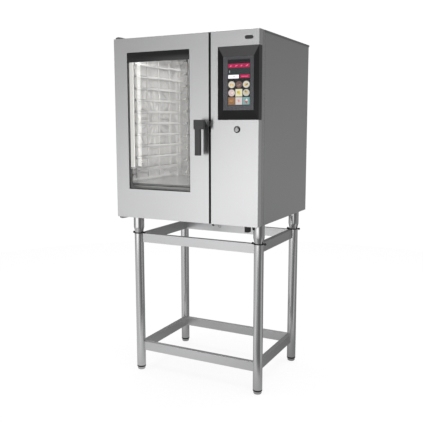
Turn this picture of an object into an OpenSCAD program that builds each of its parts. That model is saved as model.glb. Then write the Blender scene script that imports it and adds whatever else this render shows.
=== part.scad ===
// Combi steamer oven on an open stand.
// Z is up and the floor is at zero. X runs across the front, Y from the front to the back.
// The origin is under the middle of the whole object.

/* [Casing] */
// Width of the oven casing
oven_w = 931; // [900:1:960]
// Depth of the oven casing behind the front plane
oven_d = 806; // [790:1:830]
// Height of the oven casing
oven_h = 1057; // [1050:1:1070]
// Height of the casing's underside above the floor
oven_z = 1026; // [1010:1:1040]
// Thickness of the outer sheet steel
sheet = 1.5; // [1:0.5:2]
// Depth of the control front's side return
fascia_d = 42; // [36:1:48]
// Depth at which the side panels start
seam_y = 74.5; // [70:0.5:80]

/* [Door] */
// Width of the door
door_w = 631.5; // [620:0.5:632]
// Width of the dark gap between the door and the control front
gap_w = 13.5; // [12:0.5:20]
// Depth of the door's outer shell
shell_d = 42; // [38:1:44]
// Left edge of the window, from the door's left edge
window_left = 91; // [85:1:100]
// Width of the window
window_w = 420; // [400:1:425]
// Height of the window's lower edge above the casing's underside
window_z = 174.5; // [170:0.5:190]
// Height of the window
window_h = 799; // [760:1:800]

/* [Handle] */
// Distance from the front plane to the lever's front face
handle_reach = 60; // [56:1:70]
// Height of the handle's axis above the floor
handle_z = 1585; // [1560:1:1600]
// Length of the lever below its axis
lever_len = 171; // [150:1:180]

/* [Cavity] */
// Width of the cooking cavity, with its fan chamber
cavity_w = 530; // [520:1:535]
// Depth from the front plane to the cavity's back wall
cavity_back = 650; // [640:1:660]
// Height of the cavity floor above the floor
cavity_z = 1232; // [1225:1:1236]
// Height of the cavity
cavity_h = 780; // [770:1:785]
// Number of rack levels
levels = 10; // [6:1:10]
// Distance between rack levels
level_pitch = 70.5; // [65:0.5:70.5]

/* [Stand] */
// Outer radius of the stand's legs
leg_r = 28.5; // [24:0.5:30]
// Height of the stand's top
stand_h = 903; // [895:1:912]
// Distance between the left and right leg axes
leg_span_x = 823.6; // [800:0.2:840]
// Distance between the front and rear leg axes
leg_span_y = 581; // [560:1:600]
// Depth of the front legs behind the front plane
leg_front_y = 149; // [140:1:160]
// Height of a rail
rail_h = 56; // [50:1:80]
// Height of the lower rails' top edge
lower_rail_z = 188.5; // [180:0.5:240]

/* [Hidden] */
$fn = 48;

rear_reach = 34;                                     // how far the drain stands out at the back
front_y = (handle_reach - oven_d - rear_reach) / 2;  // front plane, in the origin's frame
half_w = oven_w / 2;
in_x = half_w - sheet;                               // inner face of a side panel
oven_top = oven_z + oven_h;
door_l = -half_w;
door_r = door_l + door_w;
panel_l = door_r + gap_w;
door_bottom = oven_z + 0.8;
door_top = oven_top - 0.8;
frame_y = 62;                                        // front face of the cavity's front frame
inner_back = 52;                                     // back face of the door's inner frame
hinge_x = door_l + 20;
hinge_y = 20;
pin_r = 6;
hinge_t = 9;                                         // thickness of a hinge bracket's arm
run = 0.05;                                          // radial clearance of a running fit
clear = 0.4;                                         // gap between parts that move apart

win_l = door_l + window_left;
win_r = win_l + window_w;
win_z0 = oven_z + window_z;
win_z1 = win_z0 + window_h;
glass_l = win_l - 11;                                // the inner glass
glass_rt = win_r + 15;
glass_z0 = win_z0 + 19;
glass_z1 = win_z1 - 4;
lamp_z0 = win_z0 + 122;
lamp_z1 = win_z1 - 20;

liner_t = 2;
insulation_t = 38;
cav_l = -half_w + 45.5;
cav_r = cav_l + cavity_w;
cav_top = cavity_z + cavity_h;
fan_y = 365;
fan_z = cavity_z + cavity_h / 2;
fan_r = 165;
wall_out = cav_r + liner_t + insulation_t;           // outside of the fan wall's insulation
shaft_r = 10;
baffle_x = cav_r - 115;
grille_r = 150;                                      // outer radius of the baffle's grille

handle_x = door_r - 32.5;
spindle_r = 7;
cam_len = 38;
striker_x = handle_x + cam_len + 1.7;
bezel_l = panel_l + 43;
bezel_z0 = oven_z + 583;
bezel_z1 = oven_z + 973.5;
bezel_slope = [27, 12, 53];                          // left run, depth and upright run of the slopes
glass_r = half_w - 35.5;
dial_x = 339.5;
dial_z = oven_z + 531.5;
badge_x = 407;
badge_z = oven_top - 42.5;
badge_r = 11;
badge_flat = 14;                                     // half the badge's straight part

leg_x = leg_span_x / 2;
leg_rear_y = leg_front_y + leg_span_y;
legs = [[-leg_x, leg_front_y], [leg_x, leg_front_y], [-leg_x, leg_rear_y], [leg_x, leg_rear_y]];
leg_z = 28;
flange_t = 4;
foot_r = 33;
foot_h = oven_z - stand_h - flange_t;
rail_w = 30;
rail_out = 3;                                        // how far a rail's outer face passes the leg axis
rail_t = 2;

first_level = cavity_z + 71.5;
rack_y0 = 92;
rack_y1 = 638;
rod_r = 4;
ledge_w = 18;
web_t = 6;                                           // thickness of a ledge's guide bar
left_web_x = cav_l + 40;
right_web_x = baffle_x - 27;

heater_r = 4;                                        // radius of the element's sheath
heater_x = cav_r - 30;
ring_r = fan_r + 30;                                 // radius of the element's rings
tail_y = 60;
tail_z = cavity_z + 90;
tail_h = fan_z - tail_z - sqrt(pow(ring_r, 2) - pow(tail_y, 2));

// Pipes and connectors
exhaust_x = [-300, -170];
exhaust_y = 600;
exhaust_r = 25;
drain_x = -155;
drain_r = 25;
drain_z = oven_z + 70;
inlet_x = [300, 360];
inlet_z = oven_z + 60;
inlet_r = 13.2;
inlet_neck = 1.5;                                    // length of the groove behind a stub's thread
gland_x = 420;
gland_z = oven_z + 62;
gland_r = 16;
boiler_x = 310;
boiler_r = 95;
steam_y = 480;
steam_z = 1400;
steam_r = 14;

post_places = [for (i = [0:4]) rack_y0 + 8 + i * (rack_y1 - rack_y0 - 16) / 4];

// ---------- helpers ----------

// Moves a piece from the oven's frame, where y is zero at the front plane, to the origin's frame.
module seat() translate([0, front_y, 0]) children();

// A block from one corner to the opposite one.
module slab(x0, x1, y0, y1, z0, z1) translate([x0, y0, z0]) cube([x1 - x0, y1 - y0, z1 - z0]);

// A rod along each axis, from its start point.
module rod_x(x, y, z, r, l) translate([x, y, z]) rotate([0, 90, 0]) cylinder(r = r, h = l);
module rod_y(x, y, z, r, l) translate([x, y, z]) rotate([-90, 0, 0]) cylinder(r = r, h = l);
module rod_z(x, y, z, r, l) translate([x, y, z]) cylinder(r = r, h = l);

// ---------- casing ----------

module chassis_base() color("dimgray") seat() difference() {
    slab(-in_x, in_x, seam_y, oven_d - sheet, oven_z, oven_z + 30);
    slab(-in_x + 2, in_x - 2, seam_y + 2, oven_d - sheet - 2, oven_z + 2, oven_z + 31);
    for (i = [0:5]) slab(190 + i * 30, 204 + i * 30, 560, 700, oven_z - 1, oven_z + 3);
}

module side_panel(s) seat()
    slab(min(s * half_w, s * in_x), max(s * half_w, s * in_x), seam_y, oven_d, oven_z, oven_top - sheet);
module left_side_panel() color("silver") side_panel(-1);
module right_side_panel() color("silver") side_panel(1);

module top_cover() color("silver") seat() difference() {
    slab(-half_w - sheet, half_w + sheet, seam_y, oven_d + 8, oven_top - 12, oven_top);
    slab(-half_w, half_w, seam_y - 1, oven_d + 8 - sheet, oven_top - 13, oven_top - sheet);
    exhaust_holes(oven_top - 5, 10);
}

module rear_panel() color("silver") seat() difference() {
    slab(-in_x, in_x, oven_d - sheet, oven_d, oven_z, oven_top - sheet);
    for (i = [0:9], j = [0:1])
        slab(200 + j * 110, 290 + j * 110, oven_d - 3, oven_d + 1, 1700 + i * 22, 1706 + i * 22);
    rod_y(drain_x, oven_d - 3, drain_z, drain_r + 1, 5);
    for (x = inlet_x) rod_y(x, oven_d - 3, inlet_z, inlet_r + 0.5, 5);
    rod_y(gland_x, oven_d - 3, gland_z, gland_r + 0.5, 5);
}

// The steel face around the cavity mouth, behind the door.
module front_frame() color("silver") seat() difference() {
    slab(door_l, panel_l, frame_y, seam_y, oven_z, oven_top);
    slab(door_l + sheet, panel_l + 1, frame_y + 2, seam_y + 1, oven_z + sheet, oven_top - sheet);
    slab(cav_l, cav_r, frame_y - 1, seam_y, cavity_z, cav_top);
}

// The sheet frame that carries the control front, seen as a thin band on the right side.
module panel_frame() color("gainsboro") seat() difference() {
    slab(panel_l, half_w, fascia_d, seam_y, oven_z, oven_top);
    slab(panel_l + sheet, half_w - sheet, fascia_d - 1, seam_y + 1, oven_z + sheet, oven_top - sheet);
}

module control_fascia() color("silver") seat() difference() {
    slab(panel_l, half_w, 0, fascia_d, oven_z, oven_top);
    slab(panel_l + sheet, in_x, sheet, fascia_d + 1, oven_z + sheet, oven_top - sheet);
    slab(bezel_l, half_w + 1, -1, fascia_d + 1, bezel_z0, bezel_z1);
    rod_y(dial_x, -1, dial_z, 15.1, 5);
}

// The display's black frame: four slopes run in to the glass, and it wraps the right corner.
module display_bezel() color("black") seat() difference() {
    slab(bezel_l, half_w, 0, fascia_d, bezel_z0, bezel_z1);
    slab(bezel_l + 3, half_w - 3, bezel_slope[1] + 8, fascia_d + 1, bezel_z0 + 3, bezel_z1 - 3);
    bezel_recess();
    slab(bezel_l + bezel_slope[0], glass_r, 0, fascia_d,
         bezel_z0 + bezel_slope[2], bezel_z1 - bezel_slope[2]);
}

// The space in front of the slopes: a trapezium in plan crossed with one from the side.
module bezel_recess() intersection() {
    translate([0, 0, bezel_z0 - 1]) linear_extrude(bezel_z1 - bezel_z0 + 2)
        polygon([[bezel_l, 0], [bezel_l, -1], [half_w, -1], [half_w, 0],
                 [glass_r, bezel_slope[1]], [bezel_l + bezel_slope[0], bezel_slope[1]]]);
    translate([bezel_l - 1, 0, 0]) rotate([90, 0, 90]) linear_extrude(half_w - bezel_l + 2)
        polygon([[0, bezel_z0], [-1, bezel_z0], [-1, bezel_z1], [0, bezel_z1],
                 [bezel_slope[1], bezel_z1 - bezel_slope[2]], [bezel_slope[1], bezel_z0 + bezel_slope[2]]]);
}

module touch_glass() color("dimgray") seat()
    slab(bezel_l + bezel_slope[0], glass_r, bezel_slope[1], bezel_slope[1] + 3,
         bezel_z0 + bezel_slope[2], bezel_z1 - bezel_slope[2]);

// The screen with its control board behind it.
module display_module() color("darkgreen") seat() union() {
    slab(bezel_l + bezel_slope[0] + 6, glass_r - 6, bezel_slope[1] + 3, bezel_slope[1] + 12,
         bezel_z0 + bezel_slope[2] + 6, bezel_z1 - bezel_slope[2] - 6);
    slab(bezel_l + 40, glass_r - 20, bezel_slope[1] + 12, bezel_slope[1] + 26, bezel_z0 + 80, bezel_z1 - 80);
}

// The black upright seal that fills the gap, notched where the latch works.
module gap_seal() color("black") seat() union() {
    difference() {
        slab(door_r + 1.5, panel_l, 10, frame_y, oven_z, oven_top);
        slab(door_r, panel_l - 1, 9, frame_y + 1, handle_z - 45, handle_z + 22);
    }
    slab(panel_l - 2, panel_l + 4, 14, 26, oven_z - 9, oven_z);
}

// The catch that the latch cam turns in behind.
module latch_striker() color("gray") seat() union() {
    slab(striker_x, panel_l - 1.5, 20, 26, handle_z - 10, handle_z + 20);
    slab(striker_x, panel_l - 1.5, 26, frame_y, handle_z + 12, handle_z + 20);
}

// A hinge bracket lies on the casing and carries its pin over the door's edge.
module hinge_bracket(z, s) seat() union() {
    translate([hinge_x, hinge_y - 10, z]) mirror([0, 0, s > 0 ? 0 : 1]) rotate([-90, 0, 0]) mirror([0, 1, 0])
        linear_extrude(100)
            polygon([[-12, 0], [40, 0], [40, 2], [31, 7], [21, hinge_t], [-12, hinge_t]]);
    rod_z(hinge_x, hinge_y, s > 0 ? z - 26 : z, pin_r, 26);
    rod_z(hinge_x, hinge_y, s > 0 ? z + hinge_t : z - 12, 7, 12 - hinge_t);
}
module top_hinge_bracket() color("gray") hinge_bracket(oven_top, 1);
module bottom_hinge_bracket() color("gray") hinge_bracket(oven_z, -1);

module badge_plate() color("dimgray") seat() union() {
    slab(badge_x - badge_flat, badge_x + badge_flat, -1.2, 0, badge_z - badge_r, badge_z + badge_r);
    for (s = [-1, 1]) rod_y(badge_x + s * badge_flat, -1.2, badge_z, badge_r, 1.2);
}

// ---------- dial ----------

module dial_ring() color("dimgray") seat() difference() {
    union() {
        rod_y(dial_x, -3, dial_z, 18.5, 3);
        rod_y(dial_x, 0, dial_z, 15, 6);
        rod_y(dial_x, sheet, dial_z, 18, 4.5);
        rod_y(dial_x, 6, dial_z, 9, 12);
    }
    rod_y(dial_x, -4, dial_z, 14.4, 7);
    rod_y(dial_x, -4, dial_z, 3 + run, 30);
}
module dial_stem() color("gray") seat() union() {
    rod_y(dial_x, -4 + clear, dial_z, 3, 25 - clear);
    rod_y(dial_x, 18.6, dial_z, 6, 2);
}
module dial_knob() color("silver") seat() difference() {
    translate([dial_x, -8, dial_z]) rotate([-90, 0, 0]) rotate_extrude()
        polygon([[0, 0], [11.5, 0], [14, 2.5], [14, 8.5], [0, 8.5]]);
    rod_y(dial_x, -4, dial_z, 3 + run, 8);
}

// ---------- oven feet and stand ----------

// A tube with a tapered lower end, on each corner of the casing.
module oven_feet() color("silver") seat() for (p = legs)
    translate([p[0], p[1], stand_h + flange_t]) rotate_extrude()
        polygon([[0, 0], [26, 0], [27.5, 12], [foot_r, 34], [foot_r, foot_h],
                 [foot_r - 3, foot_h], [foot_r - 3, 34], [24, 12], [24, 6], [0, 6]]);

module foot_flanges() color("dimgray") seat() for (p = legs) difference() {
    union() {
        rod_z(p[0], p[1], stand_h, leg_r + 4, flange_t);
        slab(p[0] - 36, p[0] + 36, p[1] - 10, p[1] + 10, stand_h, stand_h + flange_t);
        for (s = [-1, 1]) rod_z(p[0] + s * 36, p[1], stand_h, 10, flange_t);
    }
    for (s = [-1, 1]) rod_z(p[0] + s * 38, p[1], stand_h - 1, 3.5, flange_t + 2);
}

module leg_tube(p) color("silver") seat() translate([p[0], p[1], leg_z]) difference() {
    cylinder(r = leg_r, h = stand_h - leg_z);
    translate([0, 0, -1]) cylinder(r = leg_r - 2, h = stand_h - leg_z - 1);
}
module front_left_leg() leg_tube(legs[0]);
module front_right_leg() leg_tube(legs[1]);
module rear_left_leg() leg_tube(legs[2]);
module rear_right_leg() leg_tube(legs[3]);

// A channel, open below, whose ends are cut to the round of the legs.
module rail_between(x0, x1, y0, y1, z_top) difference() {
    slab(x0, x1, y0, y1, z_top - rail_h, z_top);
    if (x1 - x0 > y1 - y0)
        slab(x0 - 1, x1 + 1, y0 + rail_t, y1 - rail_t, z_top - rail_h - 1, z_top - rail_t);
    else
        slab(x0 + rail_t, x1 - rail_t, y0 - 1, y1 + 1, z_top - rail_h - 1, z_top - rail_t);
    for (p = legs) rod_z(p[0], p[1], z_top - rail_h - 1, leg_r + 0.05, rail_h + 2);
}
module cross_rails(z_top) color("silver") seat() for (p = [[leg_front_y, 1], [leg_rear_y, -1]])
    rail_between(-leg_x, leg_x, min(p[0] - p[1] * rail_out, p[0] + p[1] * (rail_w - rail_out)),
                 max(p[0] - p[1] * rail_out, p[0] + p[1] * (rail_w - rail_out)), z_top);
module side_rails(z_top) color("gray") seat() for (s = [-1, 1])
    rail_between(min(s * (leg_x + rail_out), s * (leg_x + rail_out - rail_w)),
                 max(s * (leg_x + rail_out), s * (leg_x + rail_out - rail_w)),
                 leg_front_y + rail_w - rail_out, leg_rear_y - rail_w + rail_out, z_top);
module upper_cross_rails() cross_rails(stand_h);
module upper_side_rails() side_rails(stand_h);
module lower_cross_rails() cross_rails(lower_rail_z);
module lower_side_rails() side_rails(lower_rail_z);

// A levelling foot: a threaded plug in the leg's bore and a rounded steel pad below it.
module leveller(p) color("dimgray") seat() translate([p[0], p[1], 0]) rotate_extrude()
    polygon([[0, 0], [20, 0], [24, 5], [25, 14], [25, 18], [leg_r, 20], [leg_r, leg_z - clear],
             [leg_r - 2 - run, leg_z - clear], [leg_r - 2 - run, leg_z + 60], [0, leg_z + 60]]);
module front_left_leveller() leveller(legs[0]);
module front_right_leveller() leveller(legs[1]);
module rear_left_leveller() leveller(legs[2]);
module rear_right_leveller() leveller(legs[3]);

// ---------- cavity ----------

module exhaust_holes(z, l) for (x = exhaust_x) rod_z(x, exhaust_y, z, exhaust_r + 1, l);

module cavity_liner() color("gainsboro") seat() difference() {
    slab(cav_l - liner_t, cav_r + liner_t, frame_y + 2, cavity_back + liner_t,
         cavity_z - liner_t, cav_top + liner_t);
    slab(cav_l, cav_r, frame_y, cavity_back, cavity_z, cav_top);
    exhaust_holes(cav_top - 1, 5);
    rod_z(drain_x, fan_y, cavity_z - 5, drain_r - 3, 10);
    rod_x(cav_r - 1, fan_y, fan_z, shaft_r + 3, 5);
    rod_x(cav_r - 1, steam_y, steam_z, steam_r + 0.5, 5);
    for (s = [-1, 1]) rod_x(cav_r - 1, fan_y + s * tail_y, tail_z, heater_r + 0.5, 5);
}

module cavity_insulation() color("khaki") seat() difference() {
    slab(cav_l - insulation_t, wall_out, frame_y + 14, cavity_back + liner_t + insulation_t,
         cavity_z - liner_t - insulation_t, cav_top + liner_t + insulation_t);
    slab(cav_l - liner_t, cav_r + liner_t, frame_y, cavity_back + liner_t,
         cavity_z - liner_t, cav_top + liner_t);
    exhaust_holes(cav_top, 60);
    rod_z(drain_x, fan_y, cavity_z - 60, drain_r + 1, 60);
    rod_x(cav_r, fan_y, fan_z, shaft_r + 12, 60);
    rod_x(cav_r, steam_y, steam_z, steam_r + 1, 60);
    for (s = [-1, 1]) rod_x(cav_r, fan_y + s * tail_y, tail_z, heater_r + 2, 60);
}

// The lip that the closed door meets, all round the cavity's mouth.
module cavity_gasket() color("black") seat() difference() {
    slab(cav_l - 14, cav_r + 14, inner_back + clear, frame_y, cavity_z - 14, cav_top + 14);
    slab(cav_l - 2, cav_r + 2, inner_back, frame_y + 1, cavity_z - 2, cav_top + 2);
}

// The plate in front of the fan: radial slots in the middle, air leaves round its edges.
module air_baffle() color("silver") seat() union() {
    difference() {
        slab(baffle_x, baffle_x + 18, 118, 622, cavity_z + 30, cav_top - 30);
        slab(baffle_x + sheet, baffle_x + 19, 118 + sheet, 622 - sheet,
             cavity_z + 30 + sheet, cav_top - 30 - sheet);
        for (a = [0:15:345]) translate([baffle_x - 1, fan_y, fan_z]) rotate([a, 0, 0])
            translate([0, 52, -5]) cube([5, grille_r - 52, 10]);
    }
    for (y = [150, 590], z = [cavity_z + 60, cav_top - 60])
        rod_x(baffle_x + sheet, y, z, 6, cav_r - baffle_x - sheet);
}

// Three rings of sheathed element round the wheel, with two ends through the wall.
module heating_element() color("gray") seat() union() {
    for (i = [0:2]) translate([heater_x - i * 24, fan_y, fan_z]) rotate([0, 90, 0])
        rotate_extrude() translate([ring_r, 0]) circle(r = heater_r, $fn = 24);
    for (a = [60, 180, 300]) translate([heater_x - 58, fan_y, fan_z]) rotate([a, 0, 0])
        translate([0, ring_r + heater_r - 0.5, -4]) cube([cav_r - heater_x + 58, 3, 8]);
    for (s = [-1, 1]) {
        rod_x(heater_x, fan_y + s * tail_y, tail_z, heater_r, 74);
        rod_z(heater_x, fan_y + s * tail_y, tail_z, heater_r, tail_h);
        translate([heater_x, fan_y + s * tail_y, tail_z]) sphere(r = heater_r);
    }
}

module fan_wheel() color("lightgray") seat() union() {
    translate([cav_r - 20, fan_y, fan_z]) rotate([0, 90, 0]) cylinder(r = fan_r, h = 2);
    translate([cav_r - 90, fan_y, fan_z]) rotate([0, 90, 0]) difference() {
        cylinder(r = fan_r, h = 2);
        translate([0, 0, -1]) cylinder(r = fan_r - 38, h = 4);
    }
    for (a = [0:30:330]) translate([cav_r - 88, fan_y, fan_z]) rotate([a, 0, 0])
        translate([0, fan_r - 36, -1]) cube([68, 34, 2]);
    rod_x(cav_r - 55, fan_y, fan_z, 22, 35);
    rod_x(cav_r - 60, fan_y, fan_z, shaft_r, 60 + liner_t + insulation_t + 40);
}

module fan_motor() color("steelblue") seat() difference() {
    union() {
        rod_x(wall_out + 12, fan_y, fan_z, 78, 150);
        rod_x(wall_out + 162, fan_y, fan_z, 60, 40);
        slab(wall_out, wall_out + 12, fan_y - 95, fan_y + 95, fan_z - 95, fan_z + 95);
        slab(wall_out + 40, wall_out + 120, fan_y - 45, fan_y + 45, fan_z + 70, fan_z + 105);
    }
    rod_x(wall_out - 1, fan_y, fan_z, shaft_r + run, 60);
}

// Round posts on both walls, held off them by studs.
module rack_posts() color("silver") seat() for (w = [[-1, cav_l, left_web_x], [1, baffle_x, right_web_x]])
    for (y = post_places) union() {
        rod_z(w[2] + w[0] * 10, y, first_level - 45, rod_r, (levels - 1) * level_pitch + 100);
        if (y != post_places[2]) for (z = [first_level - 25, first_level + (levels - 1) * level_pitch + 40])
            rod_x(min(w[1], w[2] + w[0] * 10), y, z, 5, abs(w[1] - w[2] - w[0] * 10));
    }

// A flat ledge for each level, and the guide bar behind it that stands against the posts.
module rack(s, web_x) color("silver") seat() for (i = [0:levels - 1]) {
    z = first_level + i * level_pitch;
    ledge_x = web_x - s * 0.1;
    slab(min(web_x, web_x + s * web_t), max(web_x, web_x + s * web_t), rack_y0, rack_y1, z, z + 14);
    slab(min(ledge_x, web_x - s * ledge_w), max(ledge_x, web_x - s * ledge_w), rack_y0, rack_y1, z, z + 2);
}
module left_rack() rack(-1, left_web_x);
module right_rack() rack(1, right_web_x);

// ---------- behind the casing ----------

// A closed drum on a pedestal, with its steam pipe through the cavity wall.
module steam_generator() color("silver") seat() difference() {
    union() {
        rod_z(boiler_x, steam_y, oven_z + 50, boiler_r, 350);
        slab(boiler_x - 40, boiler_x + 40, steam_y - 40, steam_y + 40, oven_z + 2, oven_z + 50);
        rod_x(cav_r - 12, steam_y, steam_z, steam_r, boiler_x - boiler_r + 14 - cav_r);
    }
    rod_z(boiler_x, steam_y, oven_z + 53, boiler_r - 3, 344);
    rod_x(cav_r - 13, steam_y, steam_z, steam_r - 2, boiler_x - boiler_r + 20 - cav_r);
}

module power_tray() color("gray") seat() union() {
    slab(430, 434, 150, 660, 1120, 1900);
    for (i = [0:4]) slab(392, 430, 180 + i * 90, 245 + i * 90, 1760, 1850);
    for (i = [0:2]) slab(400, 430, 200 + i * 140, 300 + i * 140, 1560, 1680);
    for (y = [180, 630], z = [1150, 1870]) rod_x(434, y, z, 6, in_x - 434);
}

module drain_pipe() color("gray") seat() difference() {
    union() {
        rod_z(drain_x, fan_y, drain_z, drain_r, cavity_z - liner_t - drain_z);
        rod_y(drain_x, fan_y, drain_z, drain_r, oven_d + 10 - fan_y);
        rod_y(drain_x, oven_d + 4, drain_z, drain_r + 2, rear_reach - 4);
        translate([drain_x, fan_y, drain_z]) sphere(r = drain_r);
    }
    rod_z(drain_x, fan_y, drain_z, drain_r - 2, 200);
    rod_y(drain_x, fan_y, drain_z, drain_r - 2, oven_d);
    translate([drain_x, fan_y, drain_z]) sphere(r = drain_r - 2);
}

module exhaust_pipes() color("gray") seat() for (x = exhaust_x) difference() {
    rod_z(x, exhaust_y, cav_top, exhaust_r, oven_top + 40 - cav_top);
    rod_z(x, exhaust_y, cav_top - 1, exhaust_r - 1.5, 200);
}

// Two threaded stubs, each with a backing collar, a flange outside and a valve body.
module water_inlets() color("goldenrod") seat() for (x = inlet_x) difference() {
    union() {
        rod_y(x, oven_d - sheet - 6, inlet_z, 20, 6);
        rod_y(x, oven_d - sheet, inlet_z, inlet_r, sheet);
        rod_y(x, oven_d, inlet_z, 19, 4);
        rod_y(x, oven_d + 4, inlet_z, inlet_r - 1.2, inlet_neck);
        rod_y(x, oven_d + 4 + inlet_neck, inlet_z, inlet_r, 20);
        slab(x - 16, x + 16, oven_d - 60, oven_d - sheet - 6, inlet_z - 16, inlet_z + 24);
    }
    rod_y(x, oven_d - 30, inlet_z, 9, 70);
}

module cable_gland() color("black") seat() difference() {
    union() {
        rod_y(gland_x, oven_d - 16, gland_z, gland_r, 16);
        translate([gland_x, oven_d, gland_z]) rotate([-90, 0, 0]) cylinder(r = 20, h = 8, $fn = 6);
        rod_y(gland_x, oven_d + 8, gland_z, 16, 14);
        rod_y(gland_x, oven_d - sheet - 6, gland_z, 20, 6);
    }
    rod_y(gland_x, oven_d - 20, gland_z, 8, 60);
}

// The sensor socket box, a hose nipple and a hook tab under the control front.
module underside_fittings() color("black") seat() union() {
    difference() {
        slab(377, 400, 24, 60, oven_z - 36, oven_z);
        slab(382, 395, 29, 55, oven_z - 37, oven_z - 12);
    }
    rod_z(424, 42, oven_z - 22, 7, 22);
    slab(196, 228, 20, 32, oven_z - 5, oven_z);
    translate([221, 26, oven_z - 12]) rotate([90, 0, 0]) rotate_extrude() translate([8, 0]) circle(1);
    rod_z(189, 11, oven_z - 11, 5.5, 11);
}

// ---------- door ----------

// The folded outer shell, with the window, the hinge bores and the latch slot in its edge.
module door_shell() color("silver") seat() difference() {
    slab(door_l, door_r, 0, shell_d, door_bottom, door_top);
    slab(door_l + sheet, door_r - sheet, sheet, shell_d + 1, door_bottom + sheet, door_top - sheet);
    slab(win_l, win_r, -1, sheet + 1, win_z0, win_z1);
    for (z = [door_bottom - 1, door_top - sheet - 1]) rod_z(hinge_x, hinge_y, z, 10.1, sheet + 2);
    slab(door_r - sheet - 1, door_r + 1, 28, 40, handle_z - 44, handle_z + 10);
    rod_y(handle_x, -1, handle_z, 12.1, sheet + 2);
}

// The inner frame closes the shell's back and holds the inner glass.
module door_inner_frame() color("gray") seat() difference() {
    slab(door_l + 14, door_r - 16, shell_d, inner_back, door_bottom + 14, door_top - 14);
    difference() {
        slab(door_l + 14 + sheet, door_r - 16 - sheet, shell_d - 1, inner_back - sheet,
             door_bottom + 14 + sheet, door_top - 14 - sheet);
        slab(glass_l - 3, glass_rt + 3, shell_d - 2, inner_back, glass_z0 - 3, glass_z1 + 3);
    }
    slab(glass_l, glass_rt, shell_d - 1, inner_back + 1, glass_z0, glass_z1);
}

module outer_glass() color([0.8, 0.85, 0.88, 0.35]) seat()
    slab(win_l - 12, win_r + 12, sheet, sheet + 6, win_z0 - 12, win_z1 + 12);

module inner_glass() color([0.8, 0.85, 0.88, 0.35]) seat()
    slab(glass_l, glass_rt, inner_back - 5, inner_back - 0.5, glass_z0, glass_z1);

// The upright lamp at the window's left edge: a slim plate held by a block at each end.
module light_bar() color("white") seat() union() {
    slab(win_l + 8, win_l + 34, sheet + 8, sheet + 12, lamp_z0 + 8, lamp_z1 - 8);
    for (z = [lamp_z0, lamp_z1 - 10]) slab(win_l + 5, win_l + 37, sheet + 8, sheet + 19, z, z + 10);
}

// The channel that catches water under the inner glass.
module door_drip_rail() color("silver") seat() difference() {
    slab(cav_l + 4, cav_r - 4, inner_back, inner_back + 6, cavity_z - 46, cavity_z - 20);
    slab(cav_l + 6, cav_r - 6, inner_back + 1.5, inner_back + 4.5, cavity_z - 44, cavity_z - 19);
}

// The bushes for both hinge pins in their blocks, and the one for the handle's spindle.
module door_bushes() color("gray") seat() difference() {
    union() {
        for (z = [door_bottom, door_top - 28]) rod_z(hinge_x, hinge_y, z, 10, 28);
        rod_y(handle_x, -2, handle_z, 16, 2);
        rod_y(handle_x, 0, handle_z, 12, 26);
        slab(hinge_x - 14, hinge_x + 30, hinge_y - 14, hinge_y + 14, door_bottom + sheet, door_bottom + 26);
        slab(hinge_x - 14, hinge_x + 30, hinge_y - 14, hinge_y + 14, door_top - 26, door_top - sheet);
    }
    for (z = [door_bottom - 1, door_top - 29]) rod_z(hinge_x, hinge_y, z, pin_r + run, 30);
    rod_y(handle_x, -3, handle_z, spindle_r + run, 30);
}

// ---------- handle ----------

module handle_lever() color([0.2, 0.2, 0.22]) seat() union() {
    slab(handle_x - 32, handle_x + 32, -handle_reach, -39, handle_z - 27, handle_z + 26);
    slab(handle_x - 24.5, handle_x + 6.5, -handle_reach, -42, handle_z - lever_len, handle_z - 27);
    rod_y(handle_x, -39, handle_z, 17, 36);
}

// The spindle runs through the door's face and carries the latch cam inside it.
module handle_spindle() color("gray") seat() union() {
    rod_y(handle_x, -3, handle_z, spindle_r, 38);
    slab(handle_x, handle_x + cam_len, 30, 38, handle_z - 8, handle_z + 8);
    rod_y(handle_x, 30, handle_z, 12, 8);
}

chassis_base();
left_side_panel();
right_side_panel();
top_cover();
rear_panel();
front_frame();
panel_frame();
control_fascia();
display_bezel();
touch_glass();
display_module();
gap_seal();
latch_striker();
top_hinge_bracket();
bottom_hinge_bracket();
badge_plate();
dial_ring();
dial_stem();
dial_knob();
oven_feet();
foot_flanges();
front_left_leg();
front_right_leg();
rear_left_leg();
rear_right_leg();
upper_cross_rails();
upper_side_rails();
lower_cross_rails();
lower_side_rails();
front_left_leveller();
front_right_leveller();
rear_left_leveller();
rear_right_leveller();
cavity_liner();
cavity_insulation();
cavity_gasket();
air_baffle();
heating_element();
fan_wheel();
fan_motor();
rack_posts();
left_rack();
right_rack();
steam_generator();
power_tray();
drain_pipe();
exhaust_pipes();
water_inlets();
cable_gland();
underside_fittings();
door_shell();
door_inner_frame();
outer_glass();
inner_glass();
light_bar();
door_drip_rail();
door_bushes();
handle_lever();
handle_spindle();
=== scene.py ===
"""The looks of a combi steamer oven on its stand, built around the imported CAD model.

Everything is in metres in the model's own frame: X across the front, Y from front to back, Z up.
"""

import math
import random

import bmesh
import bpy
from mathutils import Matrix, Vector


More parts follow.
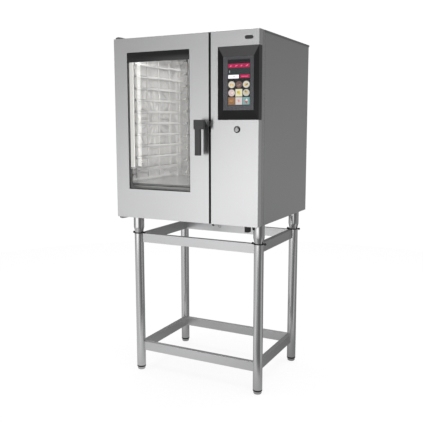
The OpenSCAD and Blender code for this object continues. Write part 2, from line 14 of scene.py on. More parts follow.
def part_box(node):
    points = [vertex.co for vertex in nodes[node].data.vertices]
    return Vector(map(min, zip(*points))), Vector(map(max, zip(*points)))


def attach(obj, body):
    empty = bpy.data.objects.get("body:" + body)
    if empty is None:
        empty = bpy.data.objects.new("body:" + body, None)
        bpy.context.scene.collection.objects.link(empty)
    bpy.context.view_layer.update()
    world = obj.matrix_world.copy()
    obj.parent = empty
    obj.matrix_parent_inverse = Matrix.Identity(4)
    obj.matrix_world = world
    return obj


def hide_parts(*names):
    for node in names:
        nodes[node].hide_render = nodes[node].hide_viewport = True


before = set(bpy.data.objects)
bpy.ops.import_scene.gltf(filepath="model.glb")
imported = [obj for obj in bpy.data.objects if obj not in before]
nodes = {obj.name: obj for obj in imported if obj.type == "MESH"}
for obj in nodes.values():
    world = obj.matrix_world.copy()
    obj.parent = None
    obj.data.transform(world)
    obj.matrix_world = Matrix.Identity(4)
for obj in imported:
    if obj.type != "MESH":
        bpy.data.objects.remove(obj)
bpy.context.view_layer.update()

MM = 0.001
X, Y, Z = Vector((1, 0, 0)), Vector((0, 1, 0)), Vector((0, 0, 1))


# ---------- places taken from the frame ----------

class Span:
    """The box of a CAD node, with its corners under short names."""

    def __init__(self, node):
        self.lo, self.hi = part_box(node)
        self.x0, self.y0, self.z0 = self.lo
        self.x1, self.y1, self.z1 = self.hi
        self.mid = (self.lo + self.hi) / 2
        self.size = self.hi - self.lo


door = Span("door_shell")
fascia = Span("control_fascia")
pane = Span("touch_glass")
outer_pane = Span("outer_glass")
inner_pane = Span("inner_glass")
lamp = Span("light_bar")
lever = Span("handle_lever")
side = Span("right_side_panel")
cover = Span("top_cover")
rear = Span("rear_panel")
liner = Span("cavity_liner")
mouth = Span("cavity_gasket")
dial = Span("dial_knob")
badge = Span("badge_plate")

CORNERS = ("front_left", "front_right", "rear_left", "rear_right")
FRONT = door.y0
LINER = 2 * MM                         # thickness of the cavity's walls
FAN_Z = Span("fan_wheel").mid.z
FAN_Y = Span("fan_wheel").mid.y
GLASS_LAP = 12 * MM                    # how far the outer glass runs behind the door's face
WINDOW = (outer_pane.x0 + GLASS_LAP, outer_pane.x1 - GLASS_LAP,
          outer_pane.z0 + GLASS_LAP, outer_pane.z1 - GLASS_LAP)


# ---------- node materials ----------

class Graph:
    """A material's node tree with short ways to add and join nodes."""

    def __init__(self, name):
        self.material = bpy.data.materials.new(name)
        self.material.use_nodes = True
        self.tree = self.material.node_tree
        self.shader = self.tree.nodes["Principled BSDF"]
        self.place = self.add("ShaderNodeTexCoord").outputs["Object"]

    def add(self, kind, **values):
        node = self.tree.nodes.new(kind)
        for key, value in values.items():
            if key in node.inputs:
                node.inputs[key].default_value = value
            else:
                setattr(node, key, value)
        return node

    def join(self, out, into):
        self.tree.links.new(out, into)

    def put(self, **values):
        """Sets the shader's sockets: a number, a colour, or another node's output."""
        for key, value in values.items():
            socket = self.shader.inputs[key.replace("_", " ")]
            if isinstance(value, bpy.types.NodeSocket):
                self.join(value, socket)
            elif isinstance(value, tuple):
                socket.default_value = (*value, 1.0) if len(value) == 3 else value
            else:
                socket.default_value = value

    def noise(self, scale, detail, roughness=0.55):
        """Noise over the piece, finer along an axis where its scale is larger."""
        mapping = self.add("ShaderNodeMapping")
        mapping.inputs["Scale"].default_value = scale
        self.join(self.place, mapping.inputs["Vector"])
        tex = self.add("ShaderNodeTexNoise", Scale=1.0, Detail=detail, Roughness=roughness)
        self.join(mapping.outputs[0], tex.inputs["Vector"])
        return tex.outputs["Fac"]

    def spots(self, scale):
        tex = self.add("ShaderNodeTexVoronoi", Scale=scale)
        self.join(self.place, tex.inputs["Vector"])
        return tex.outputs["Distance"]

    def span(self, value, low, high, start=0.3, end=0.7):
        """Maps a texture's middle range to low..high."""
        node = self.add("ShaderNodeMapRange")
        for key, number in (("From Min", start), ("From Max", end), ("To Min", low), ("To Max", high)):
            node.inputs[key].default_value = number
        self.join(value, node.inputs["Value"])
        return node.outputs[0]

    def tones(self, value, *stops):
        """A colour ramp: stops are (position, colour)."""
        ramp = self.add("ShaderNodeValToRGB").color_ramp
        while len(ramp.elements) < len(stops):
            ramp.elements.new(1.0)
        for element, (place, colour) in zip(ramp.elements, stops):
            element.position = place
            element.color = (*colour, 1.0)
        node = self.tree.nodes[-1]
        self.join(value, node.inputs[0])
        return node.outputs[0]

    def mix(self, share, a, b):
        node = self.add("ShaderNodeMix", data_type="RGBA")
        for key, value in ((0, share), (6, a), (7, b)):
            if isinstance(value, bpy.types.NodeSocket):
                self.join(value, node.inputs[key])
            elif isinstance(value, tuple):
                node.inputs[key].default_value = (*value, 1.0)
            else:
                node.inputs[key].default_value = value
        return node.outputs[2]

    def bump(self, height, depth, strength):
        node = self.add("ShaderNodeBump", Strength=strength, Distance=depth)
        self.join(height, node.inputs["Height"])
        self.join(node.outputs[0], self.shader.inputs["Normal"])
        return self


def grey(level):
    return (level, level * 1.002, level * 1.012)


def steel(name, tone, rough, grain, stretch=0.0, tangent=None):
    """Brushed stainless sheet: fine streaks along the grain, and a soft cloudiness."""
    g = Graph(name)
    across = tuple(4 if axis.dot(grain) > 0.5 else 620 for axis in (X, Y, Z))
    streaks = g.noise(across, detail=3)
    clouds = g.noise((2.1, 2.1, 1.6), detail=3)
    shade = g.mix(g.span(clouds, 0, 1), grey(tone * 0.98), grey(min(1, tone * 1.02)))
    fine = g.mix(g.span(streaks, 0, 1), grey(tone * 0.985), grey(min(1, tone * 1.012)))
    g.put(Base_Color=g.mix(0.5, shade, fine), Metallic=1.0,
          Roughness=g.span(streaks, rough * 0.95, rough * 1.05))
    g.bump(streaks, 0.00001, 0.2)
    if tangent:
        g.put(Anisotropic=stretch)
        node = g.add("ShaderNodeTangent", direction_type="RADIAL", axis=tangent)
        g.join(node.outputs[0], g.shader.inputs["Tangent"])
    return g.material


def polished(name, tone, rough, ripple=0.0):
    """Bright stainless with a slight waviness, as pressed and welded inner parts have."""
    g = Graph(name)
    waves = g.noise((14, 14, 14), detail=2)
    marks = g.noise((90, 90, 90), detail=4)
    shade = g.mix(g.span(marks, 0, 1), grey(tone * 0.93), grey(min(1, tone * 1.03)))
    g.put(Base_Color=shade, Metallic=1.0, Roughness=g.span(marks, rough * 0.8, rough * 1.25))
    return g.bump(waves, ripple, 1.0).material


def moulded(name, colour, rough, coat=0.0, texture=0.00006):
    """Moulded plastic or painted metal with a fine eggshell texture."""
    g = Graph(name)
    grain = g.noise((900, 900, 900), detail=2)
    drift = g.noise((6, 6, 6), detail=3)
    dark = tuple(c * 0.86 for c in colour)
    light = tuple(min(1, c * 1.16 + 0.002) for c in colour)
    g.put(Base_Color=g.mix(g.span(drift, 0, 1), dark, light), Coat_Weight=coat, Coat_Roughness=0.06,
          Roughness=g.span(grain, rough * 0.9, rough * 1.1))
    return g.bump(grain, texture, 0.5).material


def glowing(name, colour, strength):
    """A lit or printed field on the screen, with a faint unevenness."""
    g = Graph(name)
    grain = g.noise((160, 160, 160), detail=3)
    dim = tuple(c * 0.9 for c in colour)
    full = tuple(min(1, c * 1.06) for c in colour)
    g.put(Base_Color=tuple(c * 0.3 for c in colour), Roughness=0.35,
          Emission_Color=g.mix(g.span(grain, 0, 1), dim, full), Emission_Strength=strength)
    return g.material


def clear_glass(name, tint, gloss, mirror):
    """Thin flat glass: what is behind it shows straight through, under a Fresnel reflection."""
    g = Graph(name)
    see = g.add("ShaderNodeBsdfTransparent")
    see.inputs["Color"].default_value = (*tint, 1.0)
    edge = g.add("ShaderNodeFresnel", IOR=1.5)
    haze = g.noise((5, 5, 5), detail=3)
    g.put(Base_Color=(0.9, 0.92, 0.93), Metallic=1.0, Roughness=g.span(haze, gloss * 0.7, gloss * 1.5))
    blend = g.add("ShaderNodeMixShader")
    share = g.add("ShaderNodeMath", operation="MULTIPLY")
    g.join(edge.outputs[0], share.inputs[0])
    share.inputs[1].default_value = mirror
    g.join(share.outputs[0], blend.inputs[0])
    g.join(see.outputs[0], blend.inputs[1])
    g.join(g.shader.outputs[0], blend.inputs[2])
    g.join(blend.outputs[0], g.tree.nodes["Material Output"].inputs["Surface"])
    return g.material


def wool(name):
    """Matted mineral fibres."""
    g = Graph(name)
    fibres = g.noise((60, 60, 400), detail=8, roughness=0.7)
    tones = g.tones(fibres, (0.3, (0.42, 0.36, 0.2)), (0.7, (0.74, 0.68, 0.48)))
    g.put(Base_Color=tones, Roughness=0.95)
    return g.bump(fibres, 0.002, 0.9).material


def circuit(name):
    """A green circuit board with small pale spots."""
    g = Graph(name)
    tracks = g.spots(240)
    tones = g.tones(tracks, (0.2, (0.5, 0.42, 0.2)), (0.26, (0.02, 0.12, 0.06)), (0.8, (0.03, 0.2, 0.1)))
    g.put(Base_Color=tones, Roughness=0.4)
    return g.bump(tracks, 0.0003, 0.5).material


def turned(name, tone, rough):
    """A face turned on a lathe: fine rings around the dial's axis."""
    g = Graph(name)
    rings = g.add("ShaderNodeTexWave", wave_type="RINGS", rings_direction="Y", Scale=380.0, Distortion=0.4)
    shift = g.add("ShaderNodeMapping")
    shift.inputs["Location"].default_value = (-dial.mid.x, 0, -dial.mid.z)
    g.join(g.place, shift.inputs["Vector"])
    g.join(shift.outputs[0], rings.inputs["Vector"])
    ring = rings.outputs["Fac"]
    shade = g.mix(g.span(ring, 0, 1, 0, 1), grey(tone * 0.8), grey(tone))
    g.put(Base_Color=shade, Metallic=1.0, Roughness=rough)
    return g.bump(ring, 0.00004, 0.6).material


FRONT_STEEL = steel("front_brushed_steel", 0.77, 0.24, X, 0.85, "X")
CASING_STEEL = steel("casing_brushed_steel", 0.60, 0.36, Z, 0.5, "Y")
REAR_STEEL = steel("rear_brushed_steel", 0.62, 0.38, X, 0.4, "X")
# The top cover's steel is given a darker tone: painted shade, standing in for the dark shaded band along the
# cover's folded edge.
TOP_PAINTED_SHADE_STEEL = steel("top_steel_painted_shade", 0.38, 0.36, Y)
RAIL_X_STEEL = steel("cross_rail_steel", 0.74, 0.32, X, 0.4, "X")
RAIL_Y_STEEL = steel("side_rail_steel", 0.60, 0.34, Y, 0.4, "Y")
LEG_STEEL = steel("leg_tube_steel", 0.72, 0.17, Z)
FOOT_STEEL = polished("oven_foot_steel", 0.64, 0.10)
CAVITY_STEEL = polished("cavity_bright_steel", 0.92, 0.30, 0.004)
RACK_STEEL = polished("rack_bright_steel", 0.90, 0.16)
PLAIN_STEEL = polished("plain_steel", 0.55, 0.32)
DOOR_EDGE_STEEL = polished("door_frame_steel", 0.66, 0.26)
DARK_METAL = moulded("dark_satin_metal", (0.028, 0.028, 0.03), 0.38)
BLACK_GLOSS = moulded("bezel_black_gloss", (0.002, 0.002, 0.0025), 0.14, 0.3, 0.00001)
SCREEN_GLASS = moulded("screen_dark_glass", (0.11, 0.112, 0.116), 0.16, 0.1, 0.000004)
BLACK_RUBBER = moulded("black_rubber", (0.008, 0.008, 0.008), 0.62)
BLACK_PLASTIC = moulded("black_moulded_plastic", (0.012, 0.012, 0.013), 0.45)
BLACK_PRINT = moulded("black_glass_print", (0.011, 0.011, 0.011), 0.22, 0.0, 0.00001)
HANDLE_PLASTIC = moulded("handle_grey_plastic", (0.058, 0.058, 0.06), 0.40, 0.0, 0.00008)
SILICONE = moulded("grey_silicone", (0.05, 0.05, 0.052), 0.6)
HINGE_STEEL = polished("hinge_steel", 0.26, 0.28)
BRASS = polished("plain_brass", 0.6, 0.25)
MOTOR_PAINT = moulded("motor_casting_paint", (0.12, 0.18, 0.24), 0.5, 0.0, 0.0002)
INSULATION = wool("mineral_wool")
BOARD = circuit("circuit_board")
DIAL_FACE = turned("turned_dial_face", 0.5, 0.22)
WINDOW_GLASS = clear_glass("window_clear_glass", (0.97, 0.965, 0.955), 0.03, 0.8)
INNER_GLASS = clear_glass("inner_clear_glass", (0.97, 0.965, 0.955), 0.03, 1.6)
COVER_GLASS = clear_glass("screen_cover_glass", (0.97, 0.97, 0.98), 0.06, 0.2)
LAMP_FRONT = glowing("lamp_front_diffuser", (0.93, 0.93, 0.91), 0.66)
LAMP_LEDS = glowing("lamp_rear_lens", (1.0, 0.98, 0.95), 4.0)
BRASS.node_tree.nodes["Principled BSDF"].inputs["Specular Tint"].default_value = (1.0, 0.8, 0.4, 1.0)


# ---------- mesh helpers ----------

def in_mm(*points):
    """A profile given in millimetres."""
    return [(a * MM, b * MM) for a, b in points]


def turns(count):
    """Evenly spaced angles round a full turn."""
    return [math.tau * k / count for k in range(count)]


def spaced(first, last, count):
    """Evenly spaced places from first to last."""
    return [first + k * (last - first) / (count - 1) for k in range(count)]


def block(bm, lo, hi, r, segments=2, index=0):
    """A box with rounded edges."""
    lo, hi = Vector(map(min, lo, hi)), Vector(map(max, lo, hi))
    size = hi - lo
    place = Matrix.Translation((lo + hi) / 2) @ Matrix.Diagonal((*size, 1))
    made = bmesh.ops.create_cube(bm, size=1.0, matrix=place)
    faces = {f for v in made["verts"] for f in v.link_faces}
    for f in faces:
        f.material_index = index
    edges = list({e for f in faces for e in f.edges})
    bmesh.ops.bevel(bm, geom=edges, offset=min(r, 0.45 * min(size)), segments=segments, profile=0.5,
                    affect="EDGES")


def basis(axis):
    """Two unit vectors square to the axis."""
    axis = Vector(axis).normalized()
    side_way = (Z if abs(axis.z) < 0.9 else X).cross(axis).normalized()
    return axis, side_way, axis.cross(side_way)


def lathe(bm, at, axis, profile, steps, index=0, closed=False):
    """Turns a profile of (radius, distance along the axis) round the axis. Radius 0 closes to a point."""
    axis, u, v = basis(axis)
    at = Vector(at)
    rings = []
    for radius, along in profile:
        centre = at + axis * along
        if radius < 1e-7:
            rings.append([bm.verts.new(centre)])
            continue
        rings.append([bm.verts.new(centre + (u * math.cos(t) + v * math.sin(t)) * radius)
                      for t in turns(steps)])
    pairs = list(zip(rings, rings[1:]))
    if closed:
        pairs.append((rings[-1], rings[0]))
    for a, b in pairs:
        for k in range(steps):
            n = (k + 1) % steps
            corners = [a[k % len(a)], a[n % len(a)], b[n % len(b)], b[k % len(b)]]
            unique = list(dict.fromkeys(corners))
            if len(unique) > 2:
                bm.faces.new(unique).material_index = index


def rod(bm, start, end, r, steps, index=0):
    """A round bar with slightly rounded ends."""
    start, end = Vector(start), Vector(end)
    length = (end - start).length
    c = min(r * 0.25, length / 3)
    lathe(bm, start, end - start, [(0, 0), (r - c, 0), (r, c), (r, length - c), (r - c, length), (0, length)],
          steps, index)


def tube_ring(bm, at, axis, radius, r, steps, sides=8):
    """A torus."""
    profile = [(radius + r * math.cos(t), r * math.sin(t)) for t in turns(sides)]
    lathe(bm, at, axis, profile, steps, closed=True)


def corner_arcs(x0, x1, z0, z1, r, steps):
    """Walks a rounded rectangle: each point's arc centre (x, z), and the way (x, z) it lies from there."""
    corners = ((x1 - r, z1 - r, 0), (x0 + r, z1 - r, 90), (x0 + r, z0 + r, 180), (x1 - r, z0 + r, 270))
    for cx, cz, start in corners:
        for k in range(steps + 1):
            t = math.radians(start + 90 * k / steps)
            yield cx, cz, math.cos(t), math.sin(t)


def rect_sweep(bm, x0, x1, z0, z1, radius, profile, index=0, corner_steps=6):
    """Sweeps a closed profile of (outward offset, y) round an upright rounded rectangle."""
    loops = []
    for cx, cz, dx, dz in corner_arcs(x0, x1, z0, z1, radius, corner_steps):
        centre, way = Vector((cx, 0, cz)), Vector((dx, 0, dz))
        loops.append([bm.verts.new(centre + way * (radius + out) + Y * y) for out, y in profile])
    for k, loop in enumerate(loops):
        ahead = loops[(k + 1) % len(loops)]
        for i in range(len(profile)):
            j = (i + 1) % len(profile)
            bm.faces.new([loop[i], loop[j], ahead[j], ahead[i]]).material_index = index


def slabbed(bm, outline, y0, y1, r, index=0):
    """A plate with an outline of (x, z) points, from y0 back to y1."""
    near = [bm.verts.new((x, y0, z)) for x, z in outline]
    far = [bm.verts.new((x, y1, z)) for x, z in outline]
    faces = [bm.faces.new(near), bm.faces.new(far[::-1])]
    for k in range(len(outline)):
        n = (k + 1) % len(outline)
        faces.append(bm.faces.new([near[n], near[k], far[k], far[n]]))
    for f in faces:
        f.material_index = index
    if r > 0:
        bmesh.ops.bevel(bm, geom=list(faces[0].edges), offset=r, segments=2, profile=0.5, affect="EDGES")


def round_outline(x0, x1, z0, z1, r, steps):
    """The (x, z) points of a rounded rectangle."""
    return [(cx + r * dx, cz + r * dz) for cx, cz, dx, dz in corner_arcs(x0, x1, z0, z1, r, steps)]


def hex_head(bm, at, axis, across, height):
    """A hexagon bolt head with a chamfered top on a washer."""
    washer_r, washer_top = across * 0.72, height * 0.18
    lathe(bm, at, axis, [(0, 0), (washer_r, 0), (washer_r, washer_top), (0, washer_top)], 24)
    r = across / math.sqrt(3)
    head = [(0, washer_top), (r, washer_top), (r, height * 0.85), (r * 0.86, height), (0, height)]
    lathe(bm, at, axis, head, 6)


def screw(bm, at, axis, r, index=0):
    """A low domed screw head with a driver socket."""
    lathe(bm, at, axis, [(r, 0), (r, r * 0.12), (r * 0.82, r * 0.36), (r * 0.4, r * 0.46)], 20, index)
    lathe(bm, at, axis, [(r * 0.4, r * 0.46), (r * 0.34, r * 0.14), (0, r * 0.12)], 6, index)


def piece(name, bm, body, materials, sharp=32, replaces=()):
    """Makes the mesh an object that rides on a body."""
    bmesh.ops.recalc_face_normals(bm, faces=bm.faces)
    mesh = bpy.data.meshes.new(name)
    bm.to_mesh(mesh)
    bm.free()
    for material in materials if isinstance(materials, list) else [materials]:
        mesh.materials.append(material)
    mesh.polygons.foreach_set("use_smooth", [True] * len(mesh.polygons))
    mesh.set_sharp_from_angle(angle=math.radians(sharp))
    made = bpy.data.objects.new(name, mesh)
    bpy.context.scene.collection.objects.link(made)
    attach(made, body)
    if replaces:
        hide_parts(*replaces)


def dress(names, material, bevel, segments=2, angle=35, planar=False):
    """Gives CAD nodes their material, and rounds their sharp edges. Planar also joins faces that lie flat."""
    for name in names:
        part = nodes[name]
        for holder in part.material_slots:
            holder.material = material
        weld = part.modifiers.new("weld", "WELD")
        weld.merge_threshold = 0.00002
        if planar:
            joined = part.modifiers.new("joined", "DECIMATE")
            joined.decimate_type = "DISSOLVE"
            joined.angle_limit = math.radians(1)
        if bevel:
            soften = part.modifiers.new("soften", "BEVEL")
            soften.width = bevel
            soften.segments = segments
            soften.limit_method = "ANGLE"
            soften.angle_limit = math.radians(angle)
            soften.use_clamp_overlap = True
        normals = part.modifiers.new("normals", "WEIGHTED_NORMAL")
        normals.keep_sharp = True
        normals.weight = 100


# ---------- CAD nodes that keep their shape ----------

dress(["door_shell"], FRONT_STEEL, 1.4 * MM, 3, planar=True)
dress(["control_fascia"], FRONT_STEEL, 1.0 * MM, 3, planar=True)
dress(["panel_frame", "front_frame", "chassis_base"], CASING_STEEL, 0.8 * MM)
dress(["left_side_panel", "right_side_panel"], CASING_STEEL, 0.7 * MM)
# The cover's darker tone is painted shade along its edge.
dress(["top_cover"], TOP_PAINTED_SHADE_STEEL, 1.0 * MM)
dress(["rear_panel"], REAR_STEEL, 0.4 * MM)
dress(["display_bezel"], BLACK_GLOSS, 0.6 * MM)
dress(["touch_glass"], SCREEN_GLASS, 0.3 * MM)
dress(["display_module"], BOARD, 0)
dress(["gap_seal"], BLACK_RUBBER, 0.8 * MM)
dress(["latch_striker", "handle_spindle", "dial_stem", "door_bushes"], PLAIN_STEEL, 0.4 * MM)
dress(["top_hinge_bracket", "bottom_hinge_bracket"], HINGE_STEEL, 0.8 * MM)
dress(["oven_feet"], FOOT_STEEL, 0.8 * MM, 2, 30)
dress(["foot_flanges"], DARK_METAL, 0.8 * MM)
dress([corner + "_leg" for corner in CORNERS], LEG_STEEL, 0.6 * MM)
dress(["upper_cross_rails", "lower_cross_rails"], RAIL_X_STEEL, 1.6 * MM, 3)
dress(["upper_side_rails", "lower_side_rails"], RAIL_Y_STEEL, 1.6 * MM, 3)
dress(["cavity_liner", "air_baffle", "fan_wheel"], CAVITY_STEEL, 0.5 * MM)
dress(["left_rack", "right_rack", "rack_posts"], RACK_STEEL, 0)
dress(["heating_element"], DARK_METAL, 0)
dress(["cavity_insulation"], INSULATION, 0)
dress(["fan_motor"], MOTOR_PAINT, 1.5 * MM)
dress(["steam_generator", "power_tray", "drain_pipe", "exhaust_pipes"], PLAIN_STEEL, 0.6 * MM)
dress(["water_inlets"], BRASS, 0.6 * MM)
dress(["cable_gland", "underside_fittings"], BLACK_PLASTIC, 0.8 * MM)
dress(["door_inner_frame"], CASING_STEEL, 1.0 * MM)
dress(["outer_glass"], WINDOW_GLASS, 0)
dress(["inner_glass"], INNER_GLASS, 0)
dress(["door_drip_rail"], DOOR_EDGE_STEEL, 0.6 * MM)
dress(["dial_ring"], DARK_METAL, 0.6 * MM)
dress(["cavity_gasket"], SILICONE, 2.5 * MM, 3)


# ---------- door ----------

def make_window_trim():
    """The printed band at the glass's top, and the black seal round the opening."""
    x0, x1, z0, z1 = WINDOW
    band = 56 * MM
    inset = 0.6 * MM
    bm = bmesh.new()
    block(bm, (x0 + inset, FRONT + 0.9 * MM, z1 - band),
          (x1 - inset, FRONT + 1.45 * MM, z1 - inset), 0.2 * MM)
    piece("window_top_band", bm, "door", BLACK_PRINT)
    bm = bmesh.new()
    lip = in_mm((-2.6, 1.45), (-2.6, 0.5), (-1.6, -0.1), (-0.3, -0.1), (-0.05, 0.4), (-0.05, 1.45))
    rect_sweep(bm, x0, x1, z0, z1, 3 * MM, [(out, FRONT + y) for out, y in lip])
    piece("window_seal", bm, "door", BLACK_RUBBER)


def make_lamp():
    """The upright lamp behind the outer glass: a milky front, a channel, and a lens that faces the cavity."""
    x0, x1 = lamp.x0 + 3 * MM, lamp.x1 - 3 * MM
    y0 = lamp.y0
    cap = 10 * MM
    z0, z1 = lamp.z0 + 8 * MM, lamp.z1 - cap
    bm = bmesh.new()
    block(bm, (x0, y0, z0), (x1, y0 + 1.6 * MM, z1), 0.7 * MM, 3, 0)
    block(bm, (x0 + 1 * MM, y0 + 1.5 * MM, z0), (x1 - 1 * MM, y0 + 2.4 * MM, z1), 0.1 * MM, 1, 1)
    block(bm, (x0, y0 + 2.4 * MM, z0 + 1 * MM), (x1, y0 + 3.4 * MM, z1 - 1 * MM), 0.4 * MM, 2, 2)
    for z in (lamp.z0, z1):
        block(bm, (lamp.x0, y0, z), (lamp.x1, lamp.y1, z + cap), 1.2 * MM, 2, 1)
        for share in (0.3, 0.7):
            screw(bm, (lamp.x0 + lamp.size.x * share, y0 + 0.05 * MM, z + cap / 2), -Y, 1.8 * MM, 1)
    piece("door_lamp", bm, "door", [LAMP_FRONT, DOOR_EDGE_STEEL, LAMP_LEDS],
          replaces=["light_bar"])


def make_inner_glass_fittings():
    """The printed edge of the inner glass, and the catches that hold it."""
    glass = inner_pane
    bm = bmesh.new()
    edge = 4 * MM
    out = edge - 0.4 * MM
    y0, y1 = glass.y0 - 0.5 * MM, glass.y0 - 0.05 * MM
    rect_sweep(bm, glass.x0 + edge, glass.x1 - edge, glass.z0 + edge, glass.z1 - edge, 2 * MM,
               [(0, y0), (out, y0), (out, y1), (0, y1)])
    piece("inner_glass_edge", bm, "door", SILICONE)
    bm = bmesh.new()
    for z in (glass.z0 + 60 * MM, glass.mid.z, glass.z1 - 60 * MM):
        for x, inward in ((glass.x0 - 9 * MM, 1), (glass.x1 + 9 * MM, -1)):
            block(bm, (x - inward * 6 * MM, glass.y1 + 0.6 * MM, z - 7 * MM),
                  (x + inward * 15 * MM, glass.y1 + 2.6 * MM, z + 7 * MM), 0.8 * MM)
            screw(bm, (x, glass.y1 + 2.5 * MM, z), Y, 4 * MM)
    piece("inner_glass_catches", bm, "door", DOOR_EDGE_STEEL)


def make_door_screws():
    """The screws up both sides of the door's inner frame."""
    bm = bmesh.new()
    inner = Span("door_inner_frame")
    for z in spaced(inner.z0 + 30 * MM, inner.z1 - 30 * MM, 6):
        for x in (inner.x0 + 12 * MM, inner.x1 - 12 * MM):
            screw(bm, (x, inner.y1 - 0.1 * MM, z), Y, 3.6 * MM)
    piece("door_frame_screws", bm, "door", PLAIN_STEEL)


def make_handle():
    """The head block, the hanging blade and the hub, with softened edges and a dark trim."""
    x0, x1 = lever.x0, lever.x1
    y0, head_back = lever.y0, FRONT - 39 * MM
    head_z = lever.z1 - 53 * MM
    hub_z = head_z + 27 * MM
    bm = bmesh.new()
    block(bm, (x0, y0, head_z), (x1, head_back, lever.z1), 2.2 * MM, 3)
    block(bm, (x0 + 7 * MM, y0 + 0.4 * MM, lever.z0),
          (x1 - 23.5 * MM, y0 + 18 * MM, head_z + 12 * MM), 1.6 * MM, 3)
    hub = in_mm((0, 0), (17, 0), (17, 30), (15.5, 33), (15.5, 36), (0, 36))
    lathe(bm, (lever.mid.x, head_back - 0.1 * MM, hub_z), Y, hub, 48)
    piece("handle_grip", bm, "handle", HANDLE_PLASTIC, 40, ["handle_lever"])
    bm = bmesh.new()
    block(bm, (x0 + 1.6 * MM, y0, hub_z - 0.9 * MM),
          (x1 - 1.6 * MM, y0 + 0.12 * MM, hub_z - 0.1 * MM), 0.05 * MM)
    ring = in_mm((15.8, -1.5), (18.5, -1.2), (18.5, 0.2), (15.8, 0.4))
    lathe(bm, (lever.mid.x, head_back + 35.6 * MM, hub_z), Y, ring, 48, closed=True)
    piece("handle_trim", bm, "handle", DARK_METAL)


# ---------- screen ----------

class Screen:
    """The lit area of the display: places are shares of its width and of its height from the top."""

    def __init__(self):
        self.x0 = pane.x0 + 0.16 * pane.size.x
        self.x1 = pane.x0 + 0.875 * pane.size.x
        self.z0 = pane.z0 + 0.095 * pane.size.z
        self.z1 = pane.z0 + 0.915 * pane.size.z
        self.y = pane.y0

    def at(self, u, v):
        return self.x0 + u * (self.x1 - self.x0), self.z1 - v * (self.z1 - self.z0)

    def field(self, bm, u0, v0, u1, v1, r, index, lift=0.10 * MM):
        """A flat patch with corners of r millimetres."""
        xa, za = self.at(u0, v0)
        xb, zb = self.at(u1, v1)
        slabbed(bm, round_outline(xa, xb, zb, za, r * MM, 4), self.y - lift, self.y, 0, index)

    def spot(self, bm, u, v, ru, rv, index, lift, turn=0.0, sides=14):
        """A low oval mound."""
        x, z = self.at(u, v)
        made = []
        for share, rise in ((1.0, 0.0), (0.86, 0.7), (0.45, 1.0)):
            ring = []
            for t in turns(sides):
                dx, dz = ru * share * math.cos(t), rv * share * math.sin(t)
                ring.append(bm.verts.new((x + dx * math.cos(turn) - dz * math.sin(turn),
                                          self.y - 0.1 * MM - lift * rise,
                                          z + dx * math.sin(turn) + dz * math.cos(turn))))
            made.append(ring)
        for a, b in zip(made, made[1:]):
            for k in range(sides):
                n = (k + 1) % sides
                bm.faces.new([a[k], a[n], b[n], b[k]]).material_index = index
        bm.faces.new(made[-1]).material_index = index


